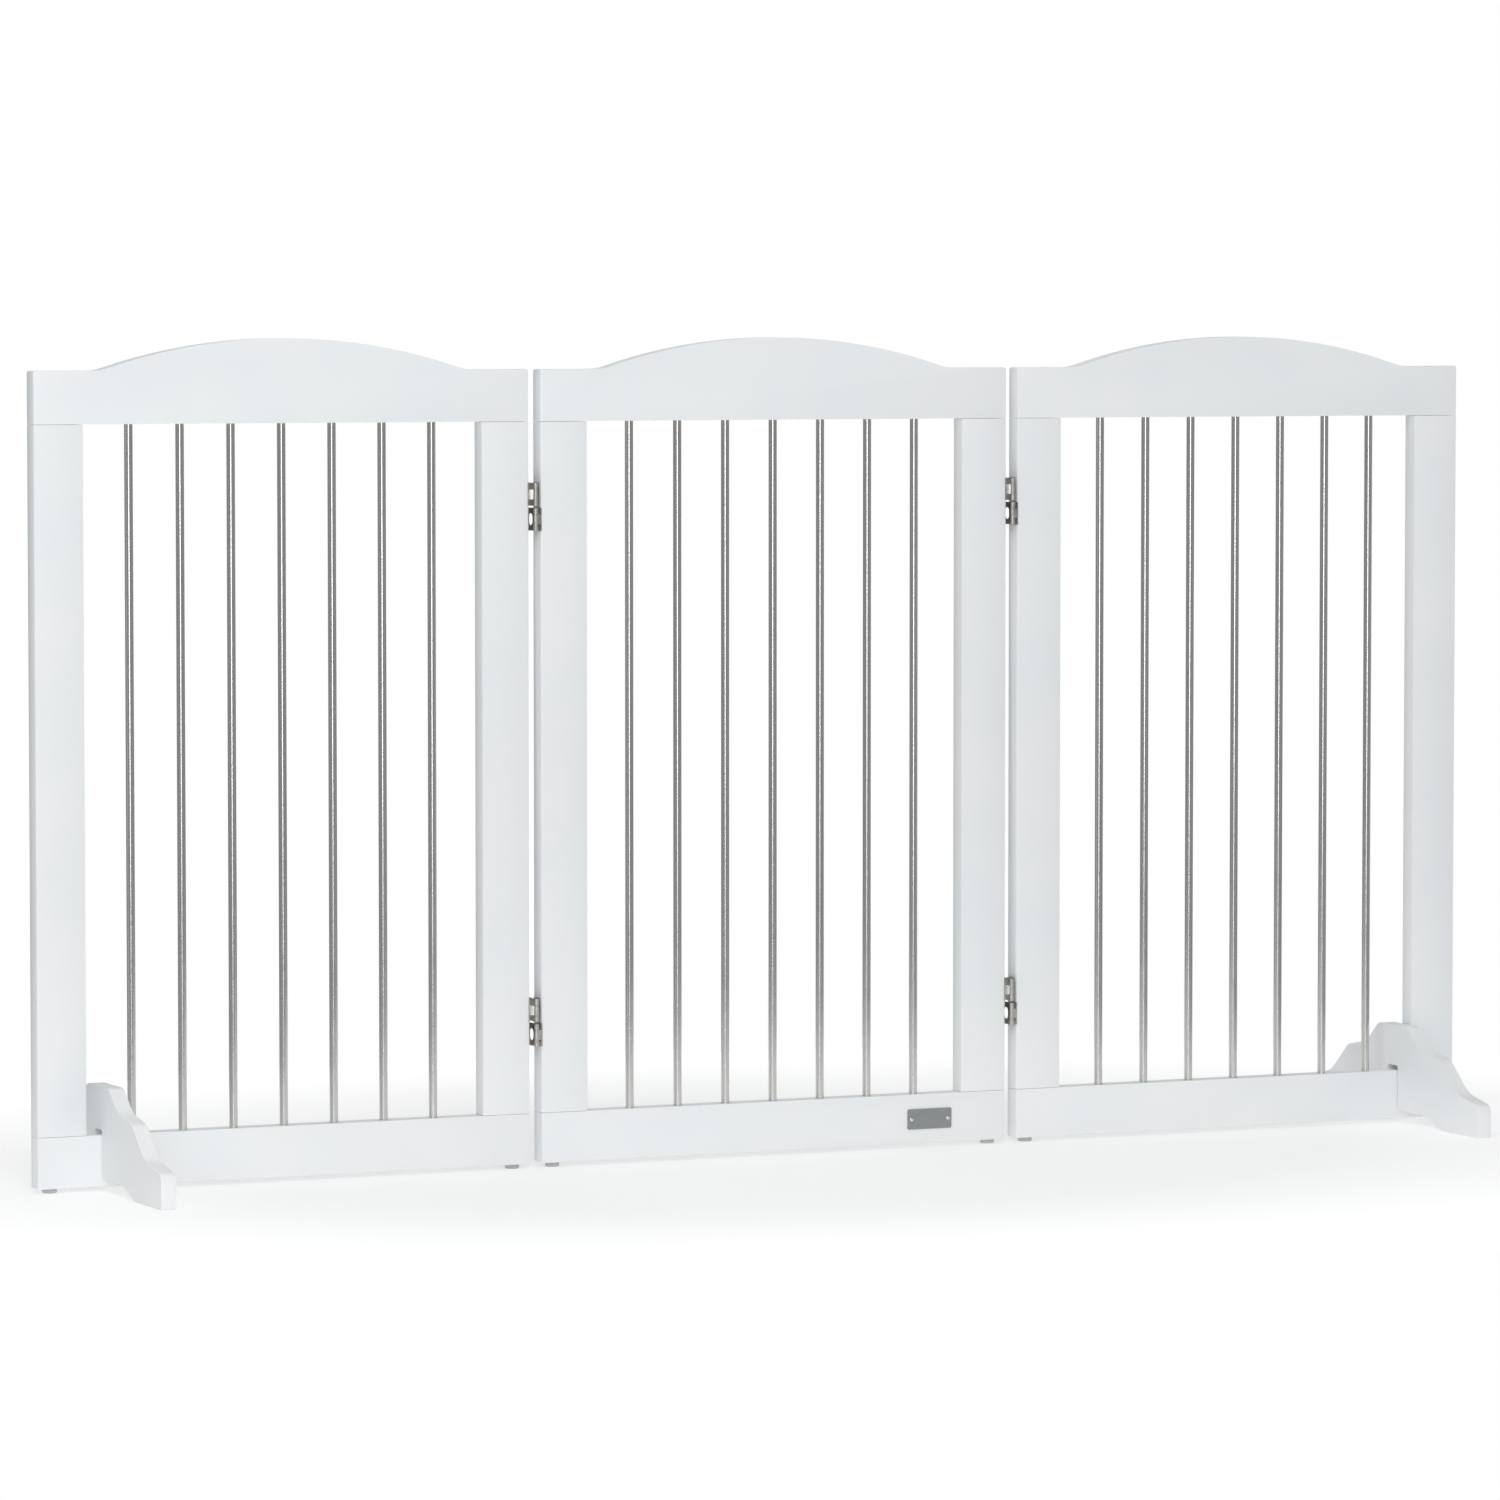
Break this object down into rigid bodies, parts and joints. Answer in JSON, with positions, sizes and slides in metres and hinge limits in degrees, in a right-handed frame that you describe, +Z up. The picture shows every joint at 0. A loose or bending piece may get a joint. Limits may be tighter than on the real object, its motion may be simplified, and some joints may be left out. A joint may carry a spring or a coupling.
{
  "type": "freestanding folding pet gate",
  "caption": "Freestanding folding pet gate: arched wooden panels with round steel bars, double-action hinges and slip-on support feet.",
  "frame": {"origin": "on the floor, under the middle of the middle panel, half way through its thickness", "axes": "+X along the unfolded gate to the right of a person in front of it, +Y away from that person, +Z up"},
  "size_m": [1.524, 0.344, 0.8],
  "materials": {
    "white_paint": "white paint over smooth wood, satin, edges eased",
    "bar_steel": "brushed round bar, satin",
    "hinge_nickel": "bright nickel plate",
    "plate_steel": "fine brushed plate, unmarked",
    "glide_plastic": "grey moulded glide"
  },
  "bodies": {
    "middle_panel": {"middle_top_rail": "white_paint", "middle_bottom_rail": "white_paint", "middle_stile_left": "white_paint", "middle_stile_right": "white_paint", "middle_bar_1": "bar_steel", "middle_bar_2": "bar_steel", "middle_bar_3": "bar_steel", "middle_bar_4": "bar_steel", "middle_bar_5": "bar_steel", "middle_bar_6": "bar_steel", "middle_bar_7": "bar_steel", "middle_glide_left": "glide_plastic", "middle_glide_right": "glide_plastic", "name_plate": "plate_steel", "name_plate_pin_left": "plate_steel", "name_plate_pin_right": "plate_steel", "left_low_hinge_middle_leaf": "hinge_nickel", "left_high_hinge_middle_leaf": "hinge_nickel", "right_low_hinge_middle_leaf": "hinge_nickel", "right_high_hinge_middle_leaf": "hinge_nickel"},
    "left_panel": {"left_top_rail": "white_paint", "left_bottom_rail": "white_paint", "left_stile_left": "white_paint", "left_stile_right": "white_paint", "left_bar_1": "bar_steel", "left_bar_2": "bar_steel", "left_bar_3": "bar_steel", "left_bar_4": "bar_steel", "left_bar_5": "bar_steel", "left_bar_6": "bar_steel", "left_bar_7": "bar_steel", "left_glide_left": "glide_plastic", "left_glide_right": "glide_plastic", "left_low_hinge_side_leaf": "hinge_nickel", "left_high_hinge_side_leaf": "hinge_nickel"},
    "left_top_links": {"left_low_hinge_top_link": "hinge_nickel", "left_high_hinge_top_link": "hinge_nickel"},
    "left_bottom_links": {"left_low_hinge_bottom_link": "hinge_nickel", "left_high_hinge_bottom_link": "hinge_nickel"},
    "left_foot": {"left_support_foot": "white_paint"},
    "right_panel": {"right_top_rail": "white_paint", "right_bottom_rail": "white_paint", "right_stile_left": "white_paint", "right_stile_right": "white_paint", "right_bar_1": "bar_steel", "right_bar_2": "bar_steel", "right_bar_3": "bar_steel", "right_bar_4": "bar_steel", "right_bar_5": "bar_steel", "right_bar_6": "bar_steel", "right_bar_7": "bar_steel", "right_glide_left": "glide_plastic", "right_glide_right": "glide_plastic", "right_low_hinge_side_leaf": "hinge_nickel", "right_high_hinge_side_leaf": "hinge_nickel"},
    "right_top_links": {"right_low_hinge_top_link": "hinge_nickel", "right_high_hinge_top_link": "hinge_nickel"},
    "right_bottom_links": {"right_low_hinge_bottom_link": "hinge_nickel", "right_high_hinge_bottom_link": "hinge_nickel"},
    "right_foot": {"right_support_foot": "white_paint"}
  },
  "joints": [
    {"name": "left_back_pin", "type": "hinge", "parent": "middle_panel", "child": "left_top_links", "pos_m": [-0.256, 0.0121, 0], "axis": [0, 0, 1], "range_deg": [-155, 0]},
    {"name": "left_front_pin", "type": "hinge", "parent": "left_top_links", "child": "left_panel", "pos_m": [-0.256, -0.0121, 0], "axis": [0, 0, 1], "range_deg": [0, 155]},
    {"name": "left_bottom_link_pin", "type": "hinge", "parent": "middle_panel", "child": "left_bottom_links", "pos_m": [-0.256, -0.0121, 0], "axis": [0, 0, 1], "range_deg": [0, 155]},
    {"name": "right_front_pin", "type": "hinge", "parent": "middle_panel", "child": "right_top_links", "pos_m": [0.256, -0.0121, 0], "axis": [0, 0, 1], "range_deg": [-155, 0]},
    {"name": "right_back_pin", "type": "hinge", "parent": "right_top_links", "child": "right_panel", "pos_m": [0.256, 0.0121, 0], "axis": [0, 0, 1], "range_deg": [0, 155]},
    {"name": "right_bottom_link_pin", "type": "hinge", "parent": "middle_panel", "child": "right_bottom_links", "pos_m": [0.256, 0.0121, 0], "axis": [0, 0, 1], "range_deg": [0, 155]},
    {"name": "left_foot_lift", "type": "slide", "parent": "left_panel", "child": "left_foot", "axis": [0, 0, 1], "range_m": [0, 0.065]},
    {"name": "right_foot_lift", "type": "slide", "parent": "right_panel", "child": "right_foot", "axis": [0, 0, 1], "range_m": [0, 0.065]}
  ],
  "couplings": [
    {"joint": "left_bottom_link_pin", "follows": "left_front_pin", "ratio": 1},
    {"joint": "right_bottom_link_pin", "follows": "right_back_pin", "ratio": 1}
  ]
}
